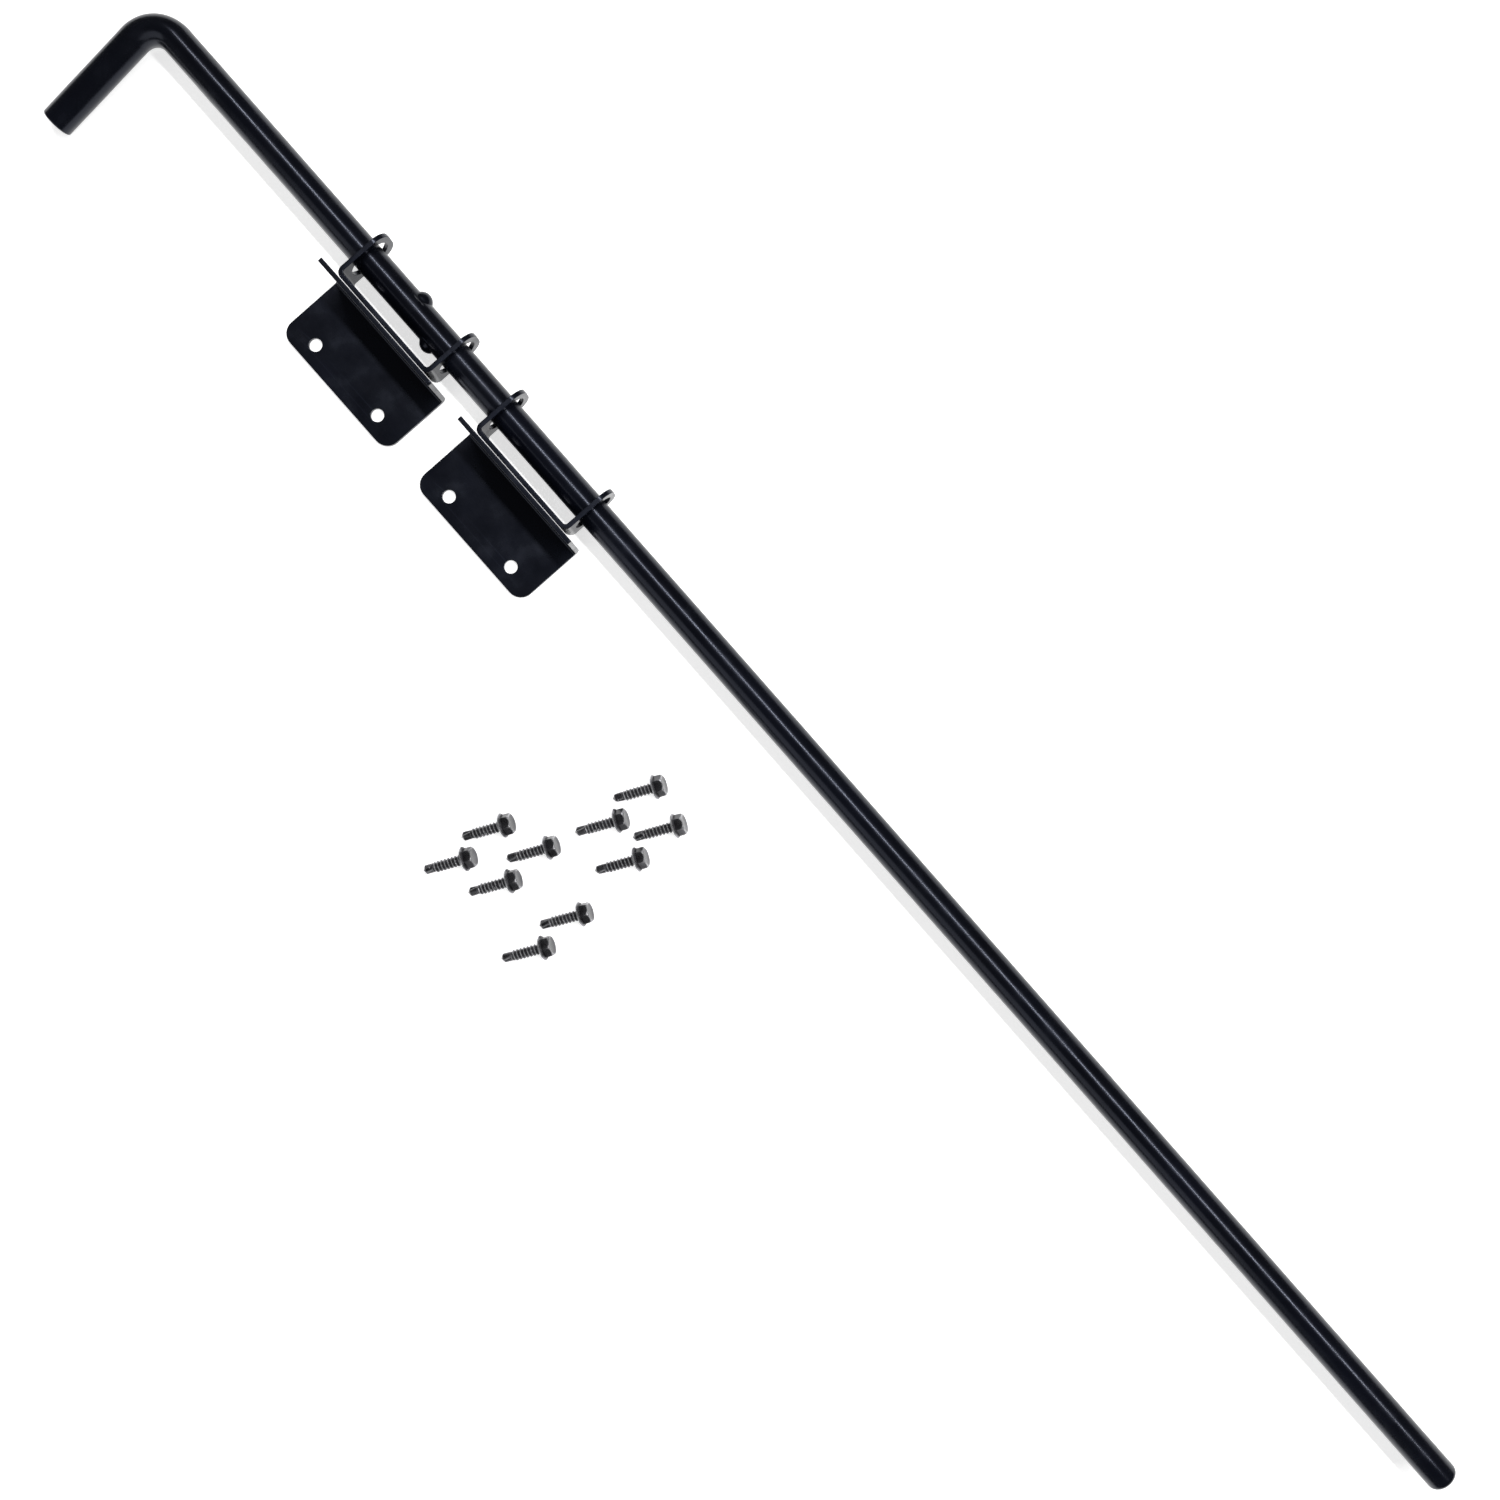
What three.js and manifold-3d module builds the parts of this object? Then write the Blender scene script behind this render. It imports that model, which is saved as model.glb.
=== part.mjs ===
// Cane bolt: a bent drop rod, the two slotted brackets that carry it and ten loose fixing screws.
// Millimetres, +Z up. The set lies as on a bench: the rod along X with its handle at -X, the
// brackets' plates flat on the ground plane Z = 0, and the origin under the middle of its box.
import * as THREE from 'three';
import { mergeVertices } from 'three/addons/utils/BufferGeometryUtils.js';
import Module from 'manifold-3d';

// Rod: one round bar, bent into a handle.
const ROD_DIAMETER = 15;
const ROD_LENGTH = 914.4; // from the handle's outer side to the tip
const HANDLE_REACH = 69.5; // from the rod's axis to the handle's end
const ELBOW_RADIUS = 15; // of the bar's centreline
const TIP_ROUNDING = 3.2;
const HANDLE_CHAMFER = 1;
const HANDLE_ABOVE = 187.2; // from the upper bracket's middle to the handle's outer side

// Lugs: two ball-ended stops, one on each side of the rod.
const LUG_HEIGHT = 2.45; // proud of the bar
const LUG_BALL_RADIUS = 4.9;
const LUG_OFFSET = 2; // from the upper bracket's middle to the first lug
const LUG_STAGGER = 16; // from one lug to the other, along the rod

// Angle plate: folded sheet with a drilled leg and a leg that carries the guide.
const SHEET = 2.3;
const BEND_INSIDE = 1.5;
const PLATE_LENGTH = 76;
const LEG_WIDTH = 38.1;
const LEG_CORNER = 7;
const HOLE_DIAMETER = 6.4;
const LEG_HOLE_PITCH = 44.5;
const LEG_HOLE_EDGE = 8.5; // from the leg's free edge to the holes

// Rod guide: a folded channel on the plate's upright leg, with a slotted ear at each end.
const GUIDE_INSET = 6.25; // from the plate's end to the ear
const ROD_CLEARANCE = 0.5; // rod to slot, each side
const LUG_CLEARANCE = 0.55; // lugs to slot ends
const EAR_SIDE_WALL = 3.5;
const EAR_END_WALL = 2.9;
const EAR_CORNER = 8;
const WEB_GAP = 6.3; // from the web to the rod
const WEB_HOLE_PITCH = 18;
const WEB_HOLE_ZIGZAG = 6.5; // up or down from the rod's height
const BRACKET_SPACING = 96;

// Screws: hexagon washer head, self-drilling.
const SCREW_LENGTH = 21; // under the head
const THREAD_DIAMETER = 5.5;
const POINT_DIAMETER = 4.4;
const POINT_LENGTH = 5.5;
const POINT_CONE = 1.5;
const WASHER_DIAMETER = 12;
const WASHER_THICKNESS = 1.3;
const HEX_ACROSS_FLATS = 9;
const HEX_HEIGHT = 4.1;
const HEX_CHAMFER = 0.6; // in from the corners
const HEX_CHAMFER_ANGLE = 30;
const SCREW_HEADING = 64.4; // degrees from +X, from point to head
const SCREW_PAIR_STEP = 24;
const SCREW_PLACES = [[242, -64], [262, -69], [208, -130], [230, -121], [264, -130]];

const FIT_GAP = 0.3; // between touching pieces
const ROUND_SIDES = 32;
const SMALL_SIDES = 16;
const BEND_STEPS = 5;
const ELBOW_STEPS = 12;

const rodRadius = ROD_DIAMETER / 2;
const lugSpan = ROD_DIAMETER + 2 * LUG_HEIGHT;
const slotWidth = ROD_DIAMETER + 2 * ROD_CLEARANCE;
const slotLength = lugSpan + 2 * LUG_CLEARANCE;
const axisHeight = LEG_WIDTH / 2;
const guideWidth = slotWidth + 2 * EAR_SIDE_WALL;
const guideLength = PLATE_LENGTH - 2 * GUIDE_INSET;
const webBack = -(SHEET + WEB_GAP + rodRadius);
const uprightFace = webBack - FIT_GAP;
const earTip = slotLength / 2 + EAR_END_WALL;
const bendOutside = BEND_INSIDE + SHEET;

const wasm = await Module();
wasm.setup();

const coat = { color: 0x0c0d16, roughness: 0.34, metalness: 0.15 };
const oxide = { color: 0x1b1b1d, roughness: 0.42, metalness: 0.7 };

// Solids for cutting and joining.

function solid(geometry) {
  const bare = geometry.clone();
  bare.deleteAttribute('normal');
  bare.deleteAttribute('uv');
  const merged = mergeVertices(bare, 1e-4);
  const vertProperties = new Float32Array(merged.attributes.position.array);
  const triVerts = new Uint32Array(merged.index.array);
  return new wasm.Manifold(new wasm.Mesh({ numProp: 3, vertProperties, triVerts }));
}

function surface(body) {
  const mesh = body.getMesh();
  const geometry = new THREE.BufferGeometry();
  geometry.setAttribute('position', new THREE.BufferAttribute(mesh.vertProperties, 3));
  geometry.setIndex(new THREE.BufferAttribute(mesh.triVerts, 1));
  geometry.computeVertexNormals();
  return geometry;
}

function named(name, geometry, look) {
  const mesh = new THREE.Mesh(geometry, new THREE.MeshStandardMaterial(look));
  mesh.name = name;
  return mesh;
}

function prism(shape, depth) {
  return new THREE.ExtrudeGeometry(shape, { depth, bevelEnabled: false, curveSegments: BEND_STEPS });
}

// Turns a prism drawn in Y and Z so that its depth runs along X, centred.
function alongX(geometry, depth) {
  const axes = new THREE.Matrix4().makeBasis(
    new THREE.Vector3(0, 1, 0),
    new THREE.Vector3(0, 0, 1),
    new THREE.Vector3(1, 0, 0),
  );
  return geometry.applyMatrix4(axes).translate(-depth / 2, 0, 0);
}

// A drill of a hole's diameter, as long as the plate, along Z or Y.
function drill(x, y, z, axis) {
  const radius = HOLE_DIAMETER / 2;
  const bit = new THREE.CylinderGeometry(radius, radius, 4 * SHEET, ROUND_SIDES / 2);
  if (axis === 'z') {
    bit.rotateX(Math.PI / 2);
  }
  return solid(bit.translate(x, y, z));
}

// Angle plate

function anglePlateProfile() {
  const bendCentre = [uprightFace - bendOutside, bendOutside];
  const shape = new THREE.Shape();
  shape.moveTo(uprightFace, LEG_WIDTH);
  shape.lineTo(uprightFace, bendOutside);
  shape.absarc(...bendCentre, bendOutside, 0, -Math.PI / 2, true);
  shape.lineTo(uprightFace - LEG_WIDTH, 0);
  shape.lineTo(uprightFace - LEG_WIDTH, SHEET);
  shape.lineTo(bendCentre[0], SHEET);
  shape.absarc(...bendCentre, BEND_INSIDE, -Math.PI / 2, 0, false);
  shape.lineTo(uprightFace - SHEET, LEG_WIDTH);
  shape.closePath();
  return shape;
}

// What the plate's outline is trimmed to, seen from above: round corners on the lying leg.
function plateTrim() {
  const end = PLATE_LENGTH / 2;
  const edge = uprightFace - LEG_WIDTH;
  const shape = new THREE.Shape();
  shape.moveTo(end, uprightFace + SHEET);
  shape.lineTo(-end, uprightFace + SHEET);
  shape.absarc(-end + LEG_CORNER, edge + LEG_CORNER, LEG_CORNER, Math.PI, 1.5 * Math.PI, false);
  shape.absarc(end - LEG_CORNER, edge + LEG_CORNER, LEG_CORNER, 1.5 * Math.PI, 2 * Math.PI, false);
  shape.closePath();
  return prism(shape, LEG_WIDTH + 2 * SHEET).translate(0, 0, -SHEET);
}

function webHoles(y) {
  return [-1, 0, 1].map((step) => {
    const rise = step === 0 ? -WEB_HOLE_ZIGZAG : WEB_HOLE_ZIGZAG;
    return drill(step * WEB_HOLE_PITCH, y, axisHeight + rise, 'y');
  });
}

function anglePlate() {
  const folded = solid(alongX(prism(anglePlateProfile(), PLATE_LENGTH), PLATE_LENGTH));
  let plate = folded.intersect(solid(plateTrim()));
  for (const side of [-1, 1]) {
    const x = side * LEG_HOLE_PITCH / 2;
    plate = plate.subtract(drill(x, uprightFace - LEG_WIDTH + LEG_HOLE_EDGE, SHEET / 2, 'z'));
  }
  for (const hole of webHoles(uprightFace - SHEET / 2)) {
    plate = plate.subtract(hole);
  }
  return surface(plate);
}

// Rod guide

function guideProfile() {
  const end = guideLength / 2;
  const cornerX = end - bendOutside;
  const cornerY = webBack + bendOutside;
  const shape = new THREE.Shape();
  shape.moveTo(-end, earTip);
  shape.absarc(-cornerX, cornerY, bendOutside, Math.PI, 1.5 * Math.PI, false);
  shape.absarc(cornerX, cornerY, bendOutside, 1.5 * Math.PI, 2 * Math.PI, false);
  shape.lineTo(end, earTip);
  shape.lineTo(end - SHEET, earTip);
  shape.absarc(cornerX, cornerY, BEND_INSIDE, 0, -Math.PI / 2, true);
  shape.absarc(-cornerX, cornerY, BEND_INSIDE, 1.5 * Math.PI, Math.PI, true);
  shape.lineTo(-end + SHEET, earTip);
  shape.closePath();
  return shape;
}

// What the ears are trimmed to, seen along the rod: round corners at their tips.
function earTrim() {
  const top = guideWidth / 2;
  const back = webBack - SHEET;
  const shape = new THREE.Shape();
  shape.moveTo(back, -top);
  shape.absarc(earTip - EAR_CORNER, -top + EAR_CORNER, EAR_CORNER, -Math.PI / 2, 0, false);
  shape.absarc(earTip - EAR_CORNER, top - EAR_CORNER, EAR_CORNER, 0, Math.PI / 2, false);
  shape.lineTo(back, top);
  shape.closePath();
  return alongX(prism(shape, PLATE_LENGTH), PLATE_LENGTH).translate(0, 0, axisHeight);
}

// The slot that passes the rod at any turn, and the lugs only when they lie along it.
function slotCutter() {
  const straight = (slotLength - slotWidth) / 2;
  const shape = new THREE.Shape();
  shape.absarc(straight, 0, slotWidth / 2, -Math.PI / 2, Math.PI / 2, false);
  shape.absarc(-straight, 0, slotWidth / 2, Math.PI / 2, 1.5 * Math.PI, false);
  shape.closePath();
  const cut = new THREE.ExtrudeGeometry(shape, {
    depth: PLATE_LENGTH,
    bevelEnabled: false,
    curveSegments: ROUND_SIDES / 4,
  });
  return alongX(cut, PLATE_LENGTH).translate(0, 0, axisHeight);
}

function rodGuide() {
  const lowEdge = axisHeight - guideWidth / 2;
  const folded = solid(prism(guideProfile(), guideWidth).translate(0, 0, lowEdge));
  let guide = folded.intersect(solid(earTrim())).subtract(solid(slotCutter()));
  for (const hole of webHoles(webBack + SHEET / 2)) {
    guide = guide.subtract(hole);
  }
  return surface(guide);
}

function bracket(name, x) {
  const group = new THREE.Group();
  group.add(named(`${name}_angle_plate`, anglePlate(), coat));
  group.add(named(`${name}_rod_guide`, rodGuide(), coat));
  group.position.x = x;
  return group;
}

// Rod, drawn along X on its own axis. The bar is cut square inside the upper bracket's lower ear,
// where its upper length turns against its lower length.

const rodTop = -HANDLE_ABOVE + rodRadius;
const rodTip = -HANDLE_ABOVE + ROD_LENGTH;
const rodJoin = guideLength / 2 - SHEET / 2;

// The bar's centreline: the handle, the elbow in equal steps, then the straight.
class BentLine extends THREE.Curve {
  getPoint(t, target = new THREE.Vector3()) {
    const station = t * (ELBOW_STEPS + 2);
    const elbowY = -ELBOW_RADIUS;
    const elbowX = rodTop + ELBOW_RADIUS;
    if (station < 1) {
      return target.set(rodTop, THREE.MathUtils.lerp(-HANDLE_REACH, elbowY, station), 0);
    }
    if (station > ELBOW_STEPS + 1) {
      return target.set(THREE.MathUtils.lerp(elbowX, rodJoin, station - ELBOW_STEPS - 1), 0, 0);
    }
    const turn = (station - 1) / ELBOW_STEPS * Math.PI / 2;
    const x = elbowX - ELBOW_RADIUS * Math.cos(turn);
    return target.set(x, elbowY + ELBOW_RADIUS * Math.sin(turn), 0);
  }

  getUtoTmapping(u) {
    return u;
  }
}

// A ring with a triangular section, which takes the sharp edge off the handle's end.
function chamferRing() {
  const profile = [
    new THREE.Vector2(rodRadius - HANDLE_CHAMFER, -FIT_GAP),
    new THREE.Vector2(rodRadius + HANDLE_CHAMFER, -FIT_GAP),
    new THREE.Vector2(rodRadius + HANDLE_CHAMFER, 2 * HANDLE_CHAMFER),
    new THREE.Vector2(rodRadius - HANDLE_CHAMFER, 0),
    new THREE.Vector2(rodRadius - HANDLE_CHAMFER, -FIT_GAP),
  ];
  return new THREE.LatheGeometry(profile, ROUND_SIDES).translate(rodTop, -HANDLE_REACH, 0);
}

function rodUpper() {
  const round = new THREE.Shape();
  round.absarc(0, 0, rodRadius, 0, 2 * Math.PI, false);
  const bar = new THREE.ExtrudeGeometry(round, {
    steps: ELBOW_STEPS + 2,
    bevelEnabled: false,
    curveSegments: ROUND_SIDES / 2,
    extrudePath: new BentLine(),
  });
  return surface(solid(bar).subtract(solid(chamferRing())));
}

function rodLower() {
  const start = rodJoin + FIT_GAP;
  const shoulder = rodTip - TIP_ROUNDING;
  const profile = [new THREE.Vector2(0, start), new THREE.Vector2(rodRadius, start)];
  for (let step = 0; step <= BEND_STEPS; step += 1) {
    const turn = step / BEND_STEPS * Math.PI / 2;
    const radius = rodRadius - TIP_ROUNDING * (1 - Math.cos(turn));
    profile.push(new THREE.Vector2(radius, shoulder + TIP_ROUNDING * Math.sin(turn)));
  }
  profile.push(new THREE.Vector2(0, rodTip));
  return new THREE.LatheGeometry(profile, ROUND_SIDES).rotateZ(-Math.PI / 2);
}

// A lug is the part of a ball that stands proud of the bar.
function lug(x, side) {
  const centre = rodRadius + LUG_HEIGHT - LUG_BALL_RADIUS;
  const ball = new THREE.SphereGeometry(LUG_BALL_RADIUS, SMALL_SIDES, SMALL_SIDES / 2);
  ball.translate(x, side * centre, 0);
  const seat = rodRadius + FIT_GAP;
  const bar = new THREE.CylinderGeometry(seat, seat, 4 * LUG_BALL_RADIUS, ROUND_SIDES);
  bar.rotateZ(Math.PI / 2).translate(x, 0, 0);
  return surface(solid(ball).subtract(solid(bar)));
}

// The handle rests on the ground, a little below level.
function handleDroop() {
  const corner = Math.hypot(HANDLE_REACH, rodRadius);
  return Math.asin(axisHeight / corner) - Math.atan2(rodRadius, HANDLE_REACH);
}

function rod() {
  const upper = new THREE.Group();
  upper.add(named('rod_upper', rodUpper(), coat));
  upper.add(named('lug_outer', lug(LUG_OFFSET, 1), coat));
  upper.add(named('lug_inner', lug(LUG_OFFSET + LUG_STAGGER, -1), coat));
  upper.rotation.x = handleDroop();
  const group = new THREE.Group();
  group.add(upper);
  group.add(named('rod_lower', rodLower(), coat));
  group.position.z = axisHeight;
  return group;
}

// Screw, drawn point down with the head's underside at Z = 0.

const threadEnd = SCREW_LENGTH - POINT_LENGTH;

function screwShank() {
  const threadRadius = THREAD_DIAMETER / 2;
  const pointRadius = POINT_DIAMETER / 2;
  const washerRadius = WASHER_DIAMETER / 2;
  const profile = [
    new THREE.Vector2(0, -SCREW_LENGTH),
    new THREE.Vector2(pointRadius, -SCREW_LENGTH + POINT_CONE),
    new THREE.Vector2(pointRadius, -threadEnd),
    new THREE.Vector2(threadRadius, -threadEnd + FIT_GAP),
    new THREE.Vector2(threadRadius, 0),
    new THREE.Vector2(washerRadius, 0),
    new THREE.Vector2(washerRadius, WASHER_THICKNESS / 2),
    new THREE.Vector2(HEX_ACROSS_FLATS / 2, WASHER_THICKNESS),
    new THREE.Vector2(0, WASHER_THICKNESS),
  ];
  return new THREE.LatheGeometry(profile, SMALL_SIDES);
}

// A hexagon under a flat cone, which takes the sharp top off its corners.
function hexHead() {
  const corner = HEX_ACROSS_FLATS / 2 / Math.cos(Math.PI / 6);
  const low = WASHER_THICKNESS / 2;
  const top = WASHER_THICKNESS + HEX_HEIGHT;
  const hex = new THREE.CylinderGeometry(corner, corner, top - low, 6);
  const coneTop = corner - HEX_CHAMFER;
  const coneFoot = coneTop + top / Math.tan(THREE.MathUtils.degToRad(HEX_CHAMFER_ANGLE));
  const cone = new THREE.CylinderGeometry(coneTop, coneFoot, top, SMALL_SIDES);
  return solid(hex.translate(0, (low + top) / 2, 0)).intersect(solid(cone.translate(0, top / 2, 0)));
}

function screw() {
  return surface(solid(screwShank()).add(hexHead())).rotateX(Math.PI / 2);
}

// A screw lies on its washer's rim and its point's shoulder.
function layScrew(mesh, x, y, spin) {
  const washerRadius = WASHER_DIAMETER / 2;
  const onThread = Math.atan2(washerRadius - THREAD_DIAMETER / 2, threadEnd);
  const onPoint = Math.atan2(washerRadius - POINT_DIAMETER / 2, SCREW_LENGTH - POINT_CONE);
  const rise = Math.min(onThread, onPoint);
  const heading = THREE.MathUtils.degToRad(SCREW_HEADING);
  mesh.rotation.set(0, Math.PI / 2 - rise, heading, 'ZYX');
  mesh.rotateZ(spin);
  mesh.position.set(x, y, washerRadius * Math.cos(rise));
}

function screws() {
  const group = new THREE.Group();
  const shape = screw();
  let number = 0;
  for (const [x, y] of SCREW_PLACES) {
    for (const below of [0, SCREW_PAIR_STEP]) {
      number += 1;
      const mesh = named(`screw_${number}`, shape.clone(), oxide);
      layScrew(mesh, x, y - below, number);
      group.add(mesh);
    }
  }
  return group;
}

const caneBolt = new THREE.Group();
caneBolt.add(bracket('upper', 0));
caneBolt.add(bracket('lower', BRACKET_SPACING));
caneBolt.add(rod());
caneBolt.add(screws());

const box = new THREE.Box3().setFromObject(caneBolt, true);
const middle = box.getCenter(new THREE.Vector3());
caneBolt.position.set(-middle.x, -middle.y, -box.min.z);

export default caneBolt;
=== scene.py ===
# A black cane bolt set on a pale bench: the bent drop rod in its two slotted brackets, and ten
# loose screws. Everything is in metres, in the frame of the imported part.
import math
import bmesh
import bpy
from mathutils import Matrix, Vector


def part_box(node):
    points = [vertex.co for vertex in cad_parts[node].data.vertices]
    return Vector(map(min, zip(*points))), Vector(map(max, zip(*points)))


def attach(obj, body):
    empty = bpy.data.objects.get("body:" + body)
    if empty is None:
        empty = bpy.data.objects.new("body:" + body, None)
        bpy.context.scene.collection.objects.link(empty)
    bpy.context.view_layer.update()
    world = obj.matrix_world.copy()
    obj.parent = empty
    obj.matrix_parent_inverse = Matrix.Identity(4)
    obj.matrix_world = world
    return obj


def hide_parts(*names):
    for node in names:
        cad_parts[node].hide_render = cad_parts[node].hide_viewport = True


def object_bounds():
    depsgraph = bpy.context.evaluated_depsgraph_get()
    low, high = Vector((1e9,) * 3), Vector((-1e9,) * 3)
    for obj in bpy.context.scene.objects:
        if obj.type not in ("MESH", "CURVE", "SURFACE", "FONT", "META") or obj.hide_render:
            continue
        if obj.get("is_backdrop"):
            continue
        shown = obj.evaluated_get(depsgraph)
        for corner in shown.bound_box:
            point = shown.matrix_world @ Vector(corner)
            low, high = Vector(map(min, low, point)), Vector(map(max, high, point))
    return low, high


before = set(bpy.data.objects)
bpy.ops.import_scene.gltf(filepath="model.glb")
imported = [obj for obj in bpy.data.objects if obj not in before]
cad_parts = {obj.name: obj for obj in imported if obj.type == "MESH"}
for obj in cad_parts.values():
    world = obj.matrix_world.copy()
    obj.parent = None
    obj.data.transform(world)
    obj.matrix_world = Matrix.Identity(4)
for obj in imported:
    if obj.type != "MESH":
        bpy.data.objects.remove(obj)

mm = 0.001
cadLow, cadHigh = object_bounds()
cadLow, cadHigh = cadLow.copy(), cadHigh.copy()
rodLow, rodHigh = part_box("rod_lower")
upperLow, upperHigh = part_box("rod_upper")
rodAxis = (rodLow + rodHigh) / 2    # its y and z are the rod's own
rodRadius = (rodHigh.y - rodLow.y) / 2


cameraSet = {
    "lens": 40.0,
    "sensor": 36.0,
    "seen": 0.6977,          # metres across the view, at the rod's height
    "roll": 48.64,           # degrees, which lays the rod along the view's diagonal
    "aside": (-0.0113, -0.0182),    # the view's centre, from the box's middle and the rod's axis
}


def placeCamera(choice):
    data = bpy.data.cameras.new("bench_camera")
    data.lens = choice["lens"]
    data.sensor_width = choice["sensor"]
    camera = bpy.data.objects.new("bench_camera", data)
    bpy.context.scene.collection.objects.link(camera)
    distance = choice["seen"] * choice["lens"] / choice["sensor"]
    middle = (cadLow + cadHigh) / 2
    camera.location = (middle.x + choice["aside"][0], rodAxis.y + choice["aside"][1],
                       rodAxis.z + distance)
    camera.rotation_euler = (0, 0, math.radians(choice["roll"]))
    bpy.context.scene.camera = camera


placeCamera(cameraSet)
print("camera placed")


def hexColor(text):
    # sRGB hex to the linear values that shaders take
    parts = [int(text[i:i + 2], 16) / 255 for i in (1, 3, 5)]
    return [p / 12.92 if p <= 0.04045 else ((p + 0.055) / 1.055) ** 2.4 for p in parts] + [1.0]


def addNode(tree, kind, settings=None, links=None, stops=None):
    # links: {input name or number: (node, output name or number)}, and plain values too
    # stops: the places and colors of a ramp, in rising order
    node = tree.nodes.new(kind)
    for key, value in (settings or {}).items():
        setattr(node, key, value)
    for key, value in (links or {}).items():
        if isinstance(value, tuple) and len(value) == 2 and hasattr(value[0], "outputs"):
            tree.links.new(value[0].outputs[value[1]], node.inputs[key])
        else:
            node.inputs[key].default_value = value
    for index, (place, color) in enumerate(stops or []):
        elements = node.color_ramp.elements    # a new ramp has two
        stop = elements[index] if index < 2 else elements.new(place)
        stop.position = place
        stop.color = color
    return node


def newMaterial(name):
    material = bpy.data.materials.new(name)
    material.use_nodes = True
    material.node_tree.nodes.clear()
    return material, material.node_tree


def gray(level):
    return (level, level, level, 1.0)


def meshObject(name, verts, faces, sharpAngle=32):
    mesh = bpy.data.meshes.new(name)
    mesh.from_pydata([tuple(v) for v in verts], [], faces)
    return finishObject(name, mesh, sharpAngle)


def finishObject(name, mesh, sharpAngle=32):
    body = bmesh.new()
    body.from_mesh(mesh)
    bmesh.ops.remove_doubles(body, verts=body.verts, dist=1e-7)
    bmesh.ops.recalc_face_normals(body, faces=body.faces)
    body.to_mesh(mesh)
    body.free()
    mesh.shade_smooth()
    mesh.set_sharp_from_angle(angle=math.radians(sharpAngle))
    made = bpy.data.objects.new(name, mesh)
    bpy.context.scene.collection.objects.link(made)
    return made


def loft(rings):
    # closes a stack of equal rings with a fan at each end
    count = len(rings[0])
    verts = [v for ring in rings for v in ring]
    faces = []
    for r in range(len(rings) - 1):
        for i in range(count):
            j = (i + 1) % count
            faces.append((r * count + i, r * count + j, (r + 1) * count + j, (r + 1) * count + i))
    for ringIndex in (0, len(rings) - 1):
        first = ringIndex * count
        verts.append(sum((Vector(v) for v in rings[ringIndex]), Vector()) / count)
        for i in range(count):
            faces.append((first + i, first + (i + 1) % count, len(verts) - 1))
    return verts, faces


def powderCoatedSteel():
    # polyester powder coat, sprayed and baked: near black with a blue cast, semi-gloss, and an
    # orange peel that breaks up every highlight
    peelSize = 1.4       # mm from crest to crest
    dustSize = 0.35      # mm, drawn a little coarse so that it shows
    cloudSize = 45       # mm, the slow change of tone along a coat
    handlingSize = 12    # mm, patches that are more or less glossy
    material, tree = newMaterial("powder_coated_steel")
    place = addNode(tree, "ShaderNodeTexCoord")
    cloud = addNode(tree, "ShaderNodeTexNoise", links={
        "Vector": (place, "Object"), "Scale": 1 / (cloudSize * mm), "Detail": 4.0})
    tint = addNode(tree, "ShaderNodeValToRGB", links={0: (cloud, 0)}, stops=[
        (0.32, hexColor("#06070C")), (0.55, hexColor("#080A11")), (0.72, hexColor("#0C0E17"))])
    dust = addNode(tree, "ShaderNodeTexNoise", links={
        "Vector": (place, "Object"), "Scale": 1 / (dustSize * mm), "Detail": 1.0})
    specks = addNode(tree, "ShaderNodeValToRGB", links={0: (dust, 0)}, stops=[
        (0.70, gray(0.0)), (0.80, gray(0.35))])
    edge = addNode(tree, "ShaderNodeNewGeometry")
    thin = addNode(tree, "ShaderNodeValToRGB", links={0: (edge, "Pointiness")}, stops=[
        (0.53, gray(0.0)), (0.62, gray(0.28))])
    worn = addNode(tree, "ShaderNodeMix", {"data_type": "RGBA"}, {
        0: (thin, 0), 6: (tint, 0), 7: hexColor("#2B2F3C")})
    color = addNode(tree, "ShaderNodeMix", {"data_type": "RGBA"}, {
        0: (specks, 0), 6: (worn, 2), 7: hexColor("#2A2D3A")})
    handling = addNode(tree, "ShaderNodeTexNoise", links={
        "Vector": (place, "Object"), "Scale": 1 / (handlingSize * mm), "Detail": 5.0})
    rough = addNode(tree, "ShaderNodeValToRGB", links={0: (handling, 0)}, stops=[
        (0.30, gray(0.19)), (0.55, gray(0.25)), (0.75, gray(0.36))])
    peel = addNode(tree, "ShaderNodeTexNoise", links={
        "Vector": (place, "Object"), "Scale": 1 / (peelSize * mm), "Detail": 2.0})
    bump = addNode(tree, "ShaderNodeBump", links={
        "Strength": 0.20, "Distance": 0.05 * mm, "Height": (peel, 0)})
    shader = addNode(tree, "ShaderNodeBsdfPrincipled", links={
        "Base Color": (color, 2), "Roughness": (rough, 0), "Normal": (bump, 0),
        "IOR": 1.5, "Specular IOR Level": 0.36, "Specular Tint": hexColor("#C0C8E2"),
        "Coat Weight": 0.08, "Coat Roughness": 0.12})
    addNode(tree, "ShaderNodeOutputMaterial", links={"Surface": (shader, 0)})
    return material


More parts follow.
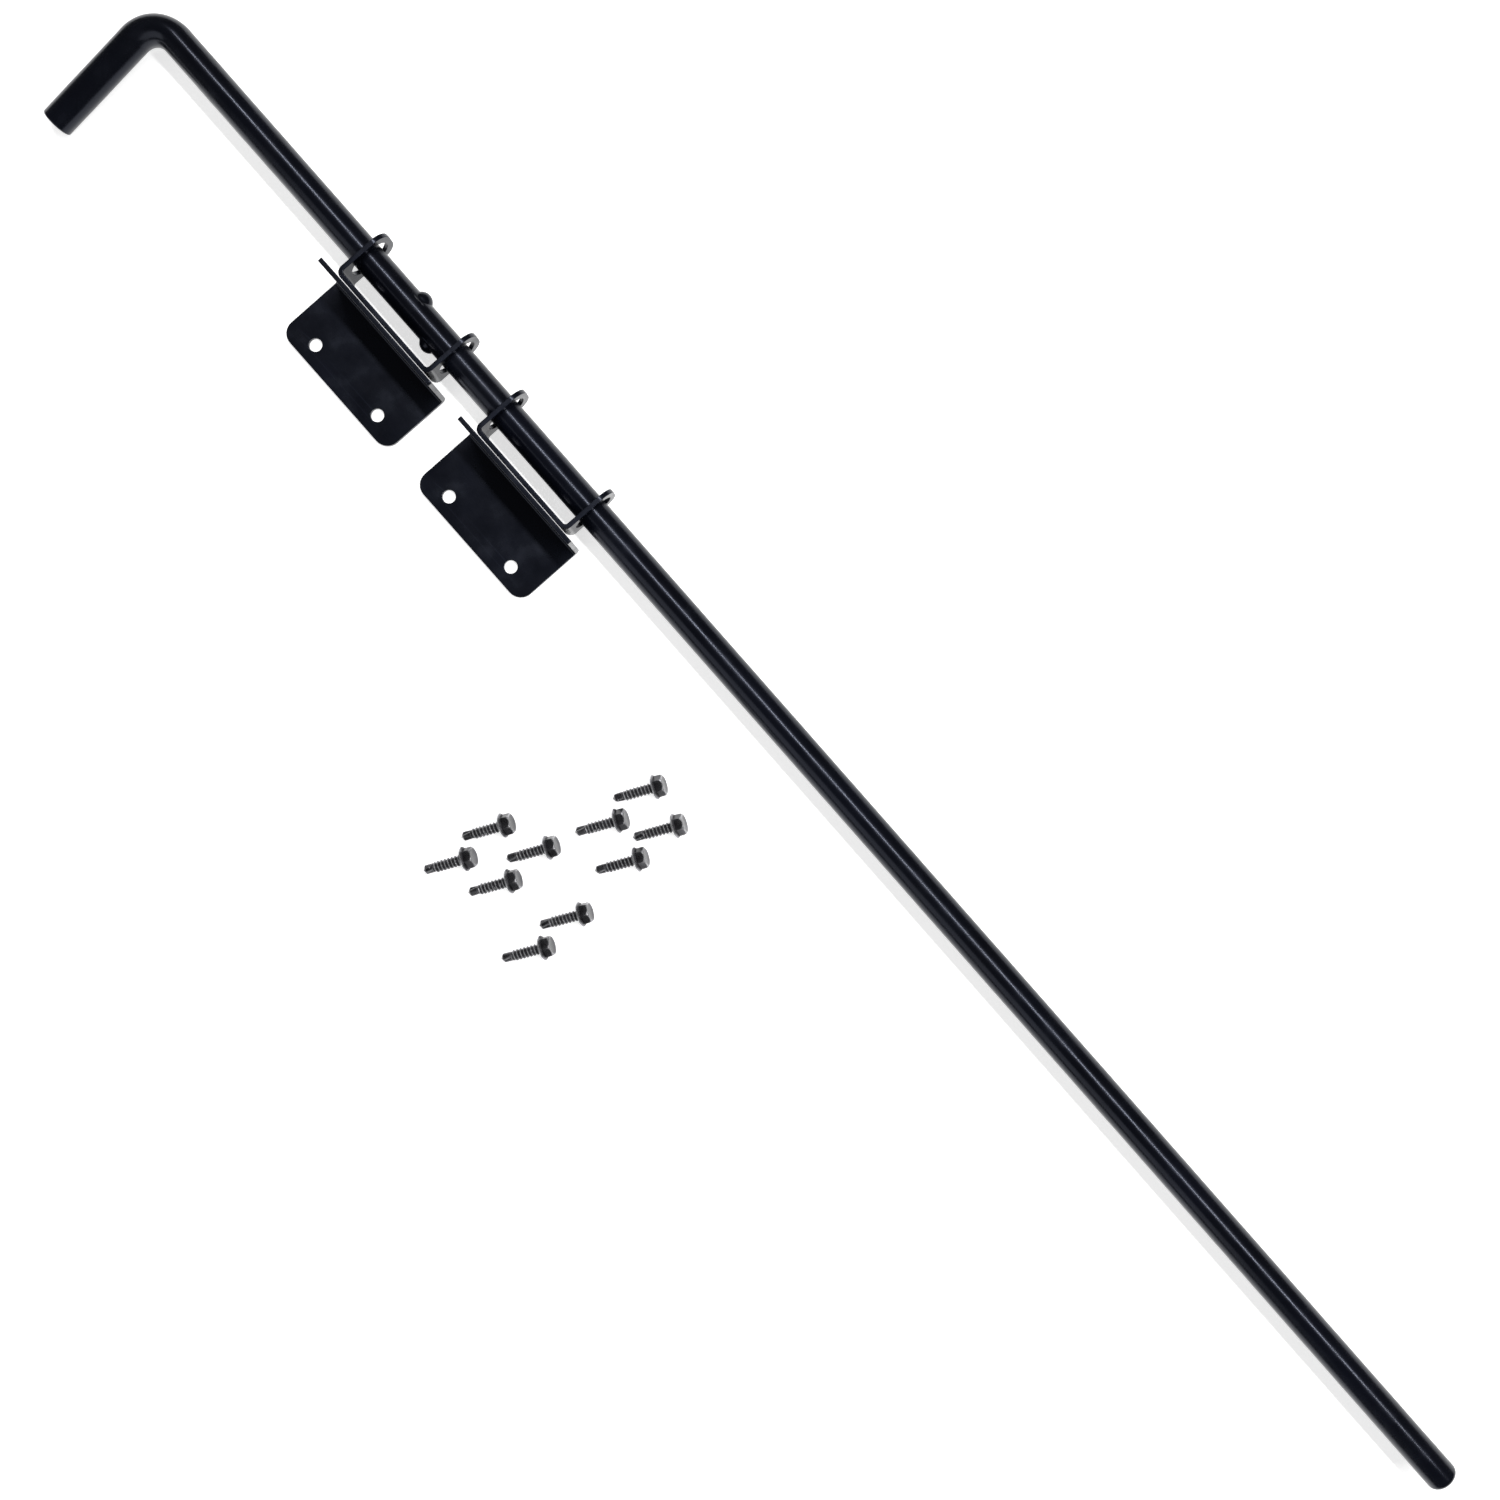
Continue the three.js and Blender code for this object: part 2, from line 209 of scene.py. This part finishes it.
def phosphatedSteel():
    # hardened steel, zinc or manganese phosphate and oil: charcoal, fine crystal grain and soft metal
    # glints, with a painted highlight on thread crests and corners, and painted shade in the thread
    # roots
    grainSize = 0.3    # mm, of the crystals, drawn coarse so that they show
    patchSize = 4      # mm, lighter and darker patches that the bath leaves
    material, tree = newMaterial("phosphated_steel")
    place = addNode(tree, "ShaderNodeTexCoord")
    grain = addNode(tree, "ShaderNodeTexNoise", links={
        "Vector": (place, "Object"), "Scale": 1 / (grainSize * mm), "Detail": 3.0})
    patch = addNode(tree, "ShaderNodeTexNoise", links={
        "Vector": (place, "Object"), "Scale": 1 / (patchSize * mm), "Detail": 3.0})
    tint = addNode(tree, "ShaderNodeValToRGB", links={0: (patch, 0)}, stops=[
        (0.35, hexColor("#3A3A3D")), (0.70, hexColor("#545458"))])
    edge = addNode(tree, "ShaderNodeNewGeometry")
    # painted shade: thread roots and other hollows are darkened to near black
    rootShade = addNode(tree, "ShaderNodeValToRGB", links={0: (edge, "Pointiness")}, stops=[
        (0.40, gray(0.85)), (0.49, gray(0.0))])
    rootShaded = addNode(tree, "ShaderNodeMix", {"data_type": "RGBA"}, {
        0: (rootShade, 0), 6: (tint, 0), 7: hexColor("#0C0C0D")})
    # painted highlight: thread crests and head corners are lightened to near white
    crestGlint = addNode(tree, "ShaderNodeValToRGB", links={0: (edge, "Pointiness")}, stops=[
        (0.51, gray(0.0)), (0.58, gray(0.85))])
    color = addNode(tree, "ShaderNodeMix", {"data_type": "RGBA"}, {
        0: (crestGlint, 0), 6: (rootShaded, 2), 7: hexColor("#DADADE")})
    rough = addNode(tree, "ShaderNodeValToRGB", links={0: (grain, 0)}, stops=[
        (0.35, gray(0.24)), (0.70, gray(0.38))])
    bump = addNode(tree, "ShaderNodeBump", links={
        "Strength": 0.25, "Distance": 0.04 * mm, "Height": (grain, 0)})
    shader = addNode(tree, "ShaderNodeBsdfPrincipled", links={
        "Base Color": (color, 2), "Roughness": (rough, 0), "Normal": (bump, 0),
        "Metallic": 0.85})
    addNode(tree, "ShaderNodeOutputMaterial", links={"Surface": (shader, 0)})
    return material


coat = powderCoatedSteel()
phosphate = phosphatedSteel()
print("materials made")


def seat(piece, body, node, material):
    # the piece stands for its CAD node, moves with its body and takes its finish
    piece.data.materials.append(material)
    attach(piece, body)
    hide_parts(node)


rod = {
    "reach": 69.5 * mm,        # from the rod's axis to the handle's end
    "elbowRadius": 15 * mm,    # of the bar's centreline
    "sides": 72,
    "elbowSteps": 28,
    "tipRounding": 3.2 * mm,
    "handleRounding": 1.0 * mm,
    "roundSteps": 7,
    "straightStep": 12 * mm,
}


def tubeRing(centre, along, across, radius):
    # a ring about a centre; "across" lies in its plane
    side = along.cross(across)
    ring = []
    for i in range(rod["sides"]):
        turn = 2 * math.pi * i / rod["sides"]
        ring.append(centre + radius * (math.cos(turn) * across + math.sin(turn) * side))
    return ring


def spaced(start, end, step):
    count = max(1, round(abs(end - start) / step))
    return [start + (end - start) * i / count for i in range(1, count + 1)]


def makeRodLower(joinX):
    across = Vector((0, 1, 0))
    along = Vector((1, 0, 0))
    y, z = rodAxis.y, rodAxis.z
    shoulder = rodHigh.x - rod["tipRounding"]
    rings = [tubeRing(Vector((joinX, y, z)), along, across, rodRadius)]
    for x in spaced(joinX, shoulder, rod["straightStep"]):
        rings.append(tubeRing(Vector((x, y, z)), along, across, rodRadius))
    for i in range(1, rod["roundSteps"] + 1):
        turn = math.pi / 2 * i / rod["roundSteps"]
        x = shoulder + rod["tipRounding"] * math.sin(turn)
        radius = rodRadius - rod["tipRounding"] * (1 - math.cos(turn))
        rings.append(tubeRing(Vector((x, y, z)), along, across, radius))
    return meshObject("rod_shank_bar", *loft(rings))


def handleDroop(reach):
    # the handle's end rests on the bench, as the CAD rod's does
    corner = math.hypot(reach, rodRadius)
    return math.asin(rodAxis.z / corner) - math.atan2(rodRadius, reach)


def makeRodUpper(joinX, reach, droop):
    # drawn level about its own axis, then turned down by the droop
    up = Vector((0, 0, 1))
    handleX = upperLow.x + rodRadius
    elbow = rod["elbowRadius"]
    outward = Vector((0, 1, 0))    # from the handle's end to the elbow
    rings = []
    for i in range(rod["roundSteps"] + 1):
        turn = math.pi / 2 * i / rod["roundSteps"]
        inset = rod["handleRounding"] * (1 - math.sin(turn))
        inward = rod["handleRounding"] * (1 - math.cos(turn))
        centre = Vector((handleX, -reach + inward, 0))
        rings.append(tubeRing(centre, outward, up, rodRadius - inset))
    for y in spaced(-reach + rod["handleRounding"], -elbow, rod["straightStep"]):
        rings.append(tubeRing(Vector((handleX, y, 0)), outward, up, rodRadius))
    for i in range(1, rod["elbowSteps"] + 1):
        turn = math.pi / 2 * i / rod["elbowSteps"]
        centre = Vector((handleX + elbow * (1 - math.cos(turn)), -elbow + elbow * math.sin(turn), 0))
        along = Vector((math.sin(turn), math.cos(turn), 0))
        rings.append(tubeRing(centre, along, up, rodRadius))
    for x in spaced(handleX + elbow, joinX, rod["straightStep"]):
        rings.append(tubeRing(Vector((x, 0, 0)), Vector((1, 0, 0)), up, rodRadius))
    return meshObject("rod_handle_bar", *turned(loft(rings), droop))


def turned(shape, droop):
    verts, faces = shape
    spin = Matrix.Rotation(droop, 3, "X")
    origin = Vector((0, rodAxis.y, rodAxis.z))
    return [origin + spin @ Vector(v) for v in verts], faces


lugSet = {
    "ballRadius": 4.9 * mm,
    "height": 2.45 * mm,    # proud of the bar
    "skirt": 6.3 * mm,      # where its fillet runs out on the bar
    "blend": 0.55 * mm,     # softness of the fillet
    "sink": 0.03 * mm,      # of the skirt's rim into the bar
    "rootDepth": 0.3,       # where it closes inside the bar, as a share of the bar's radius
    "rootTaper": 0.5,       # its width across the bar there, as a share of the skirt's
    "sides": 48,
    "rings": 18,
}


def smoothMax(a, b, softness):
    gap = max(softness - abs(a - b), 0) / softness
    return max(a, b) + gap * gap * softness / 4


def makeLug(name, x, side, droop):
    # a ball-ended lug run into the bar with a small fillet, and closed inside the bar
    centre = rodRadius + lugSet["height"] - lugSet["ballRadius"]
    rings = []
    for r in range(1, lugSet["rings"] + 1):
        out = lugSet["skirt"] * r / lugSet["rings"]
        ring = []
        for i in range(lugSet["sides"]):
            turn = 2 * math.pi * i / lugSet["sides"]
            dx, dz = out * math.cos(turn), out * math.sin(turn)
            bar = math.sqrt(rodRadius ** 2 - dz ** 2)
            ball = centre + math.sqrt(max(lugSet["ballRadius"] ** 2 - out ** 2, 0))
            sunk = lugSet["sink"] * (out / lugSet["skirt"]) ** 4
            height = smoothMax(ball, bar, lugSet["blend"]) - sunk
            ring.append(Vector((x + dx, side * height, dz)))
        rings.append(ring)
    rootY = side * rodRadius * lugSet["rootDepth"]
    rings.append([Vector((v.x, rootY, v.z * lugSet["rootTaper"])) for v in rings[-1]])
    return meshObject(name, *turned(loft(rings), droop), sharpAngle=50)


droop = handleDroop(rod["reach"])
seam = upperHigh.x    # both lengths meet here, so that the bar looks whole

seat(makeRodLower(seam), "rod_shank", "rod_lower", coat)
seat(makeRodUpper(seam, rod["reach"], droop), "rod_handle", "rod_upper", coat)
for lugName, side in (("lug_outer", 1), ("lug_inner", -1)):
    low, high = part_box(lugName)
    lug = makeLug(lugName + "_nub", (low.x + high.x) / 2, side, droop)
    seat(lug, "rod_handle", lugName, coat)
print("rod made")


sheet = {
    "thick": 2.3 * mm,
    "bendInside": 1.5 * mm,
    "softEdge": 0.3 * mm,    # the rounding that shearing and coating leave
    "edgeSteps": 2,
    "holeSides": 40,
    "cornerSteps": 8,
    "bendCuts": 10,
}
bendMiddle = sheet["bendInside"] + sheet["thick"] / 2
bendOutside = sheet["bendInside"] + sheet["thick"]
bendLength = math.pi / 2 * bendMiddle


def arc(centre, radius, start, end, steps):
    points = []
    for i in range(steps + 1):
        turn = math.radians(start + (end - start) * i / steps)
        points.append((centre[0] + radius * math.cos(turn), centre[1] + radius * math.sin(turn)))
    return points


def roundedBlank(halfWidth, length, lowCorner, highCorner):
    # an outline from s = 0 to s = length, with its own corner radius at each end
    steps = sheet["cornerSteps"]
    points = arc((halfWidth - lowCorner, lowCorner), lowCorner, -90, 0, steps)
    points += arc((halfWidth - highCorner, length - highCorner), highCorner, 0, 90, steps)
    points += arc((highCorner - halfWidth, length - highCorner), highCorner, 90, 180, steps)
    points += arc((lowCorner - halfWidth, lowCorner), lowCorner, 180, 270, steps)
    return points


def roundHole(u, s, radius):
    return arc((u, s), radius, 360, 0, sheet["holeSides"])[:-1]


def slotHole(u, s, width, length):
    # long way along s, drawn clockwise as every hole is
    radius = width / 2
    straight = (length - width) / 2
    steps = sheet["holeSides"] // 2
    return arc((u, s - straight), radius, 0, -180, steps) + arc((u, s + straight), radius, 180, 0, steps)


def blankMesh(name, outlines):
    # a filled curve with rounded edges makes the blank: u along X, s along Y, thickness along Z
    curve = bpy.data.curves.new(name, "CURVE")
    curve.dimensions = "2D"
    curve.fill_mode = "BOTH"
    curve.bevel_depth = sheet["softEdge"]
    curve.bevel_resolution = sheet["edgeSteps"]
    curve.extrude = sheet["thick"] / 2 - sheet["softEdge"]
    curve.offset = -sheet["softEdge"]
    for outline in outlines:
        spline = curve.splines.new("POLY")
        spline.points.add(len(outline) - 1)
        for point, (u, s) in zip(spline.points, outline):
            point.co = (u, s, 0, 1)
        spline.use_cyclic_u = True
    holder = bpy.data.objects.new(name + "_blank", curve)
    bpy.context.scene.collection.objects.link(holder)
    flat = bpy.data.meshes.new_from_object(holder.evaluated_get(bpy.context.evaluated_depsgraph_get()))
    bpy.data.objects.remove(holder)
    bpy.data.curves.remove(curve)
    return flat


def foldSheet(name, outlines, path, place):
    # path: ("flat", length) and ("bend", +1 or -1) in turn; place turns (across, along, u) to 3D
    flat = blankMesh(name, outlines)
    body = bmesh.new()
    body.from_mesh(flat)
    bmesh.ops.remove_doubles(body, verts=body.verts, dist=1e-6)
    s = 0.0
    for kind, value in path:
        if kind == "flat":
            s += value
            continue
        for i in range(sheet["bendCuts"] + 1):
            cut = s + bendLength * i / sheet["bendCuts"]
            everything = body.verts[:] + body.edges[:] + body.faces[:]
            bmesh.ops.bisect_plane(body, geom=everything, plane_co=(0, cut, 0), plane_no=(0, 1, 0),
                                   dist=1e-7)
        s += bendLength
    for v in body.verts:
        along, across = bentPoint(v.co.y, v.co.z, path)
        v.co = place(v.co.x, along, across)
    mesh = bpy.data.meshes.new(name)
    body.to_mesh(mesh)
    body.free()
    bpy.data.meshes.remove(flat)
    made = finishObject(name, mesh, sharpAngle=40)
    weighted = made.modifiers.new("flat_faces", "WEIGHTED_NORMAL")    # keeps the flats flat
    weighted.weight = 100
    weighted.keep_sharp = True
    return made


def bentPoint(s, depth, path):
    # where a point of the blank goes: s along its middle, depth to the left of its heading
    x = y = 0.0
    heading = 0.0
    left = s
    for index, (kind, value) in enumerate(path):
        size = value if kind == "flat" else bendLength
        last = index == len(path) - 1
        run = left if last else min(left, size)
        if kind == "flat":
            x += run * math.cos(heading)
            y += run * math.sin(heading)
        else:
            turn = value * run / bendMiddle
            centreX = x - value * bendMiddle * math.sin(heading)
            centreY = y + value * bendMiddle * math.cos(heading)
            heading += turn
            x = centreX + value * bendMiddle * math.sin(heading)
            y = centreY - value * bendMiddle * math.cos(heading)
        left -= run
        if left <= 0 and not last:
            break
    return x - depth * math.sin(heading), y + depth * math.cos(heading)


plateSet = {
    "corner": 7 * mm,
    "uprightCorner": 1.2 * mm,
    "holeRadius": 3.2 * mm,
    "holePitch": 44.5 * mm,
    "holeEdge": 8.5 * mm,
    "webPitch": 18 * mm,
    "webZigzag": 6.5 * mm,
}
guideSet = {
    "slotWidth": 16 * mm,
    "slotLength": 21 * mm,
    "earCorner": 8 * mm,
}


def makeAnglePlate(name, low, high):
    legFlat = high.z - low.z - bendOutside
    halfLength = (high.x - low.x) / 2
    total = 2 * legFlat + bendLength
    outlines = [roundedBlank(halfLength, total, plateSet["corner"], plateSet["uprightCorner"])]
    for side in (-1, 1):
        outlines.append(roundHole(side * plateSet["holePitch"] / 2, plateSet["holeEdge"],
                                  plateSet["holeRadius"]))
    for step in (-1, 0, 1):
        rise = plateSet["webZigzag"] if step else -plateSet["webZigzag"]
        s = legFlat + bendLength + rodAxis.z + rise - bendOutside
        outlines.append(roundHole(step * plateSet["webPitch"], s, plateSet["holeRadius"]))
    middleX = (low.x + high.x) / 2

    def place(u, along, across):
        return Vector((middleX + u, low.y + along, low.z + sheet["thick"] / 2 + across))

    return foldSheet(name, outlines, [("flat", legFlat), ("bend", 1), ("flat", legFlat)], place)


def makeRodGuide(name, low, high):
    earFlat = high.y - low.y - bendOutside
    webFlat = high.x - low.x - 2 * bendOutside
    total = 2 * earFlat + 2 * bendLength + webFlat
    halfWidth = (high.z - low.z) / 2
    corner = guideSet["earCorner"]
    outlines = [roundedBlank(halfWidth, total, corner, corner)]
    slotPlace = high.y - rodAxis.y
    for s in (slotPlace, total - slotPlace):
        outlines.append(slotHole(0, s, guideSet["slotWidth"], guideSet["slotLength"]))
    for step in (-1, 0, 1):
        rise = plateSet["webZigzag"] if step else -plateSet["webZigzag"]
        outlines.append(roundHole(rise, total / 2 + step * plateSet["webPitch"],
                                  plateSet["holeRadius"]))

    # the blank starts at the ear nearest the handle and heads down that ear, towards the web
    def place(u, along, across):
        return Vector((low.x + sheet["thick"] / 2 + across, high.y - along, rodAxis.z + u))

    path = [("flat", earFlat), ("bend", 1), ("flat", webFlat), ("bend", 1), ("flat", earFlat)]
    return foldSheet(name, outlines, path, place)


for spot in ("upper", "lower"):
    bracketBody = spot + "_bracket"
    plateNode, guideNode = spot + "_angle_plate", spot + "_rod_guide"
    plate = makeAnglePlate(plateNode + "_sheet", *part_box(plateNode))
    seat(plate, bracketBody, plateNode, coat)
    guide = makeRodGuide(guideNode + "_sheet", *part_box(guideNode))
    seat(guide, bracketBody, guideNode, coat)
print("brackets made")


screwSet = {
    "length": 21 * mm,         # under the head
    "threadRadius": 2.75 * mm,
    "coreRadius": 2.05 * mm,
    "pitch": 1.8 * mm,
    "ridgeHalf": 0.34,         # half a ridge's foot, as a share of the pitch
    "crestCut": 1.25,          # more than 1 cuts the ridge's top flat
    "runIn": 1.2 * mm,         # where the thread fades out, above the point
    "runOut": 0.7 * mm,        # and below the head
    "pointLength": 5.5 * mm,
    "pointRadius": 2.2 * mm,
    "pointCone": 1.5 * mm,
    "pointEnd": 0.06,          # what is left of its radius at the very end
    "fluteDepth": 0.95 * mm,
    "fluteTwist": 9 * mm,      # along the point, for a turn of one radian
    "washerRadius": 6 * mm,
    "washerThick": 1.3 * mm,
    "washerEdge": ((0.0, 0.25), (0.2, 0.0), (0.6, 0.0), (0.8, 0.2)),    # mm up, and mm in
    "hexFoot": 1.19,           # where the washer meets it, as a share of half its flats
    "hexFlat": 4.5 * mm,       # half across the flats
    "hexHeight": 4.1 * mm,
    # mm below the top, and the share of the corners' radius that is left
    "hexCrown": ((1.1, 1.0), (0.5, 0.97), (0.2, 0.91), (0.0, 0.83), (0.15, 0.70)),
    "ringGap": 0.05 * mm,      # between rings that would else meet
    "lift": 0.02 * mm,         # off the bench
    "heading": 64.4,           # degrees from +X, from point to head
    "sides": 48,
    "shankRings": 150,
}


def hexRadius(turn):
    sixth = math.pi / 3
    return screwSet["hexFlat"] / math.cos((turn + sixth / 2) % sixth - sixth / 2)


def threadCrest(z, turn):
    # 0 in the root and 1 on the crest: a steep ridge with a wide root between
    phase = (z / screwSet["pitch"] - turn / (2 * math.pi)) % 1.0
    ridge = max(0.0, 1.0 - abs(phase - 0.5) / screwSet["ridgeHalf"])
    return min(1.0, ridge * screwSet["crestCut"])


def shankRadius(z, turn):
    threadEnd = -(screwSet["length"] - screwSet["pointLength"])
    coneEnd = -screwSet["length"] + screwSet["pointCone"]
    if z > threadEnd:
        fade = min(1.0, (z - threadEnd) / screwSet["runIn"], max(-z, 0.0) / screwSet["runOut"])
        depth = (screwSet["threadRadius"] - screwSet["coreRadius"]) * threadCrest(z, turn)
        return screwSet["coreRadius"] + depth * max(fade, 0.0)
    flute = max(0.0, math.cos(2 * (turn + (z - threadEnd) / screwSet["fluteTwist"]))) ** 3
    radius = screwSet["pointRadius"] - screwSet["fluteDepth"] * flute
    if z < coneEnd:
        radius *= max(screwSet["pointEnd"], (z + screwSet["length"]) / screwSet["pointCone"])
    return radius


def makeScrewMesh():
    # point at the bottom, the head's underside at z = 0
    turns = [2 * math.pi * i / screwSet["sides"] for i in range(screwSet["sides"])]
    rings = []
    steps = screwSet["shankRings"]
    for i in range(steps + 1):
        z = -screwSet["length"] + (screwSet["length"] - screwSet["ringGap"]) * i / steps
        rings.append([(z, shankRadius(z, t), t) for t in turns])
    washer, thick = screwSet["washerRadius"], screwSet["washerThick"]
    rims = [(up * mm, washer - inset * mm) for up, inset in screwSet["washerEdge"]]
    rims.append((thick, screwSet["hexFlat"] * screwSet["hexFoot"]))
    for z, radius in rims:
        rings.append([(z, radius, t) for t in turns])
    top = thick + screwSet["hexHeight"]
    corner = screwSet["hexFlat"] / math.cos(math.pi / 6)
    crown = [(top - down * mm, share) for down, share in screwSet["hexCrown"]]
    for z, share in [(thick + screwSet["ringGap"], 1.0)] + crown:
        limit = corner * share
        rings.append([(z, min(hexRadius(t), limit), t) for t in turns])
    spun = [[Vector((r * math.cos(t), r * math.sin(t), z)) for z, r, t in ring] for ring in rings]
    return loft(spun)


def layScrew(name, shape, node, spin):
    # on the washer's rim and the point's shoulder, and centred where its CAD solid lies
    verts, faces = shape
    threadEnd = screwSet["length"] - screwSet["pointLength"]
    onThread = math.atan2(screwSet["washerRadius"] - screwSet["threadRadius"], threadEnd)
    onPoint = math.atan2(screwSet["washerRadius"] - screwSet["pointRadius"],
                         screwSet["length"] - screwSet["pointCone"])
    rise = min(onThread, onPoint)
    turn = (Matrix.Rotation(math.radians(screwSet["heading"]), 3, "Z")
            @ Matrix.Rotation(math.pi / 2 - rise, 3, "Y") @ Matrix.Rotation(spin, 3, "Z"))
    laid = [turn @ v for v in verts]
    low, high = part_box(node)
    middle = Vector([(min(v[k] for v in laid) + max(v[k] for v in laid)) / 2 for k in range(3)])
    shift = (low + high) / 2 - middle
    shift.z = -min(v.z for v in laid) + screwSet["lift"]
    return meshObject(name, [v + shift for v in laid], faces, sharpAngle=34)


screwShape = makeScrewMesh()
for number in range(1, 11):
    node = f"screw_{number}"
    # each is spun about itself by its own number of radians, so that no two look alike
    screw = layScrew(node + "_threaded", screwShape, node, number)
    seat(screw, "upper_bracket", node, phosphate)
print("screws made")


benchSet = {
    "half": 4.0,              # half its side, in metres
    "drop": 0.2 * mm,         # below the steel, so that flat undersides don't flicker
    "cloudSize": 333 * mm,    # of the laminate's faint cloud
    "glow": 0.68,             # lit from below, as a light table is
}
wallSet = {
    "radius": 3.9,            # metres
    "height": 3.5,
    "foot": 1 * mm,           # below the steel
    "sides": 96,
    "glow": 0.95,
}


def benchLaminate():
    # matt white laminate: almost flat, with a faint cloud
    material, tree = newMaterial("bench_laminate")
    place = addNode(tree, "ShaderNodeTexCoord")
    cloud = addNode(tree, "ShaderNodeTexNoise", links={
        "Vector": (place, "Object"), "Scale": 1 / benchSet["cloudSize"], "Detail": 3.0})
    tint = addNode(tree, "ShaderNodeValToRGB", links={0: (cloud, 0)}, stops=[
        (0.3, hexColor("#F1F1F0")), (0.7, hexColor("#F6F6F5"))])
    shader = addNode(tree, "ShaderNodeBsdfPrincipled", links={
        "Base Color": (tint, 0), "Roughness": 0.75, "Specular IOR Level": 0.2,
        "Emission Color": hexColor("#FFFFFF"), "Emission Strength": benchSet["glow"]})
    addNode(tree, "ShaderNodeOutputMaterial", links={"Surface": (shader, 0)})
    return material


def paintedWall():
    # matt white emulsion, evenly lit
    material, tree = newMaterial("painted_wall")
    light = addNode(tree, "ShaderNodeEmission", links={
        "Color": hexColor("#FAFAF9"), "Strength": wallSet["glow"]})
    addNode(tree, "ShaderNodeOutputMaterial", links={"Surface": (light, 0)})
    return material


def makeBench():
    half, top = benchSet["half"], -benchSet["drop"]
    verts = [(-half, -half, top), (half, -half, top), (half, half, top), (-half, half, top)]
    bench = meshObject("bench", verts, [(0, 1, 2, 3)])
    bench.data.materials.append(benchLaminate())
    bench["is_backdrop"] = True


def makeWall():
    # a round white wall for low views, which neither lights the steel nor shows in its gloss
    radius, sides = wallSet["radius"], wallSet["sides"]
    verts = []
    for z in (-wallSet["foot"], wallSet["height"]):
        for i in range(sides):
            turn = 2 * math.pi * i / sides
            verts.append((radius * math.cos(turn), radius * math.sin(turn), z))
    faces = [(i, (i + 1) % sides, sides + (i + 1) % sides, sides + i) for i in range(sides)]
    wall = meshObject("wall", verts, faces)
    wall.data.materials.append(paintedWall())
    wall.visible_diffuse = False
    wall.visible_glossy = False
    wall.visible_shadow = False
    wall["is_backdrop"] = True


lightSet = {
    "world": 0.09,
    # sizes in metres, "off" across and above the rod's axis, power in watts
    "strip": {"size": (2.0, 0.06), "off": (0.26, 0.95), "power": 13.0},
    "side": {"size": (2.4, 1.2), "off": (-1.7, 1.0), "power": 9.0},
}


def softLight(name, choice):
    data = bpy.data.lights.new(name, "AREA")
    data.shape = "RECTANGLE"
    data.size, data.size_y = choice["size"]
    data.energy = choice["power"]
    lamp = bpy.data.objects.new(name, data)
    bpy.context.scene.collection.objects.link(lamp)
    lamp.location = (0, rodAxis.y + choice["off"][0], rodAxis.z + choice["off"][1])
    aim = Vector((0, rodAxis.y, rodAxis.z)) - lamp.location
    lamp.rotation_euler = (math.atan2(aim.y, -aim.z), 0, 0)


def lightRoom():
    world = bpy.data.worlds.new("room")
    world.use_nodes = True
    background = world.node_tree.nodes["Background"]
    background.inputs["Color"].default_value = gray(1.0)
    background.inputs["Strength"].default_value = lightSet["world"]
    bpy.context.scene.world = world
    softLight("strip_light", lightSet["strip"])
    softLight("side_light", lightSet["side"])
    bpy.context.scene.view_settings.view_transform = "Standard"


makeBench()
makeWall()
lightRoom()
print("bench and light made")

shownLow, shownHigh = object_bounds()
sizes = {
    "cad": [list(cadLow), list(cadHigh)],
    "visual": [list(shownLow), list(shownHigh)],
}
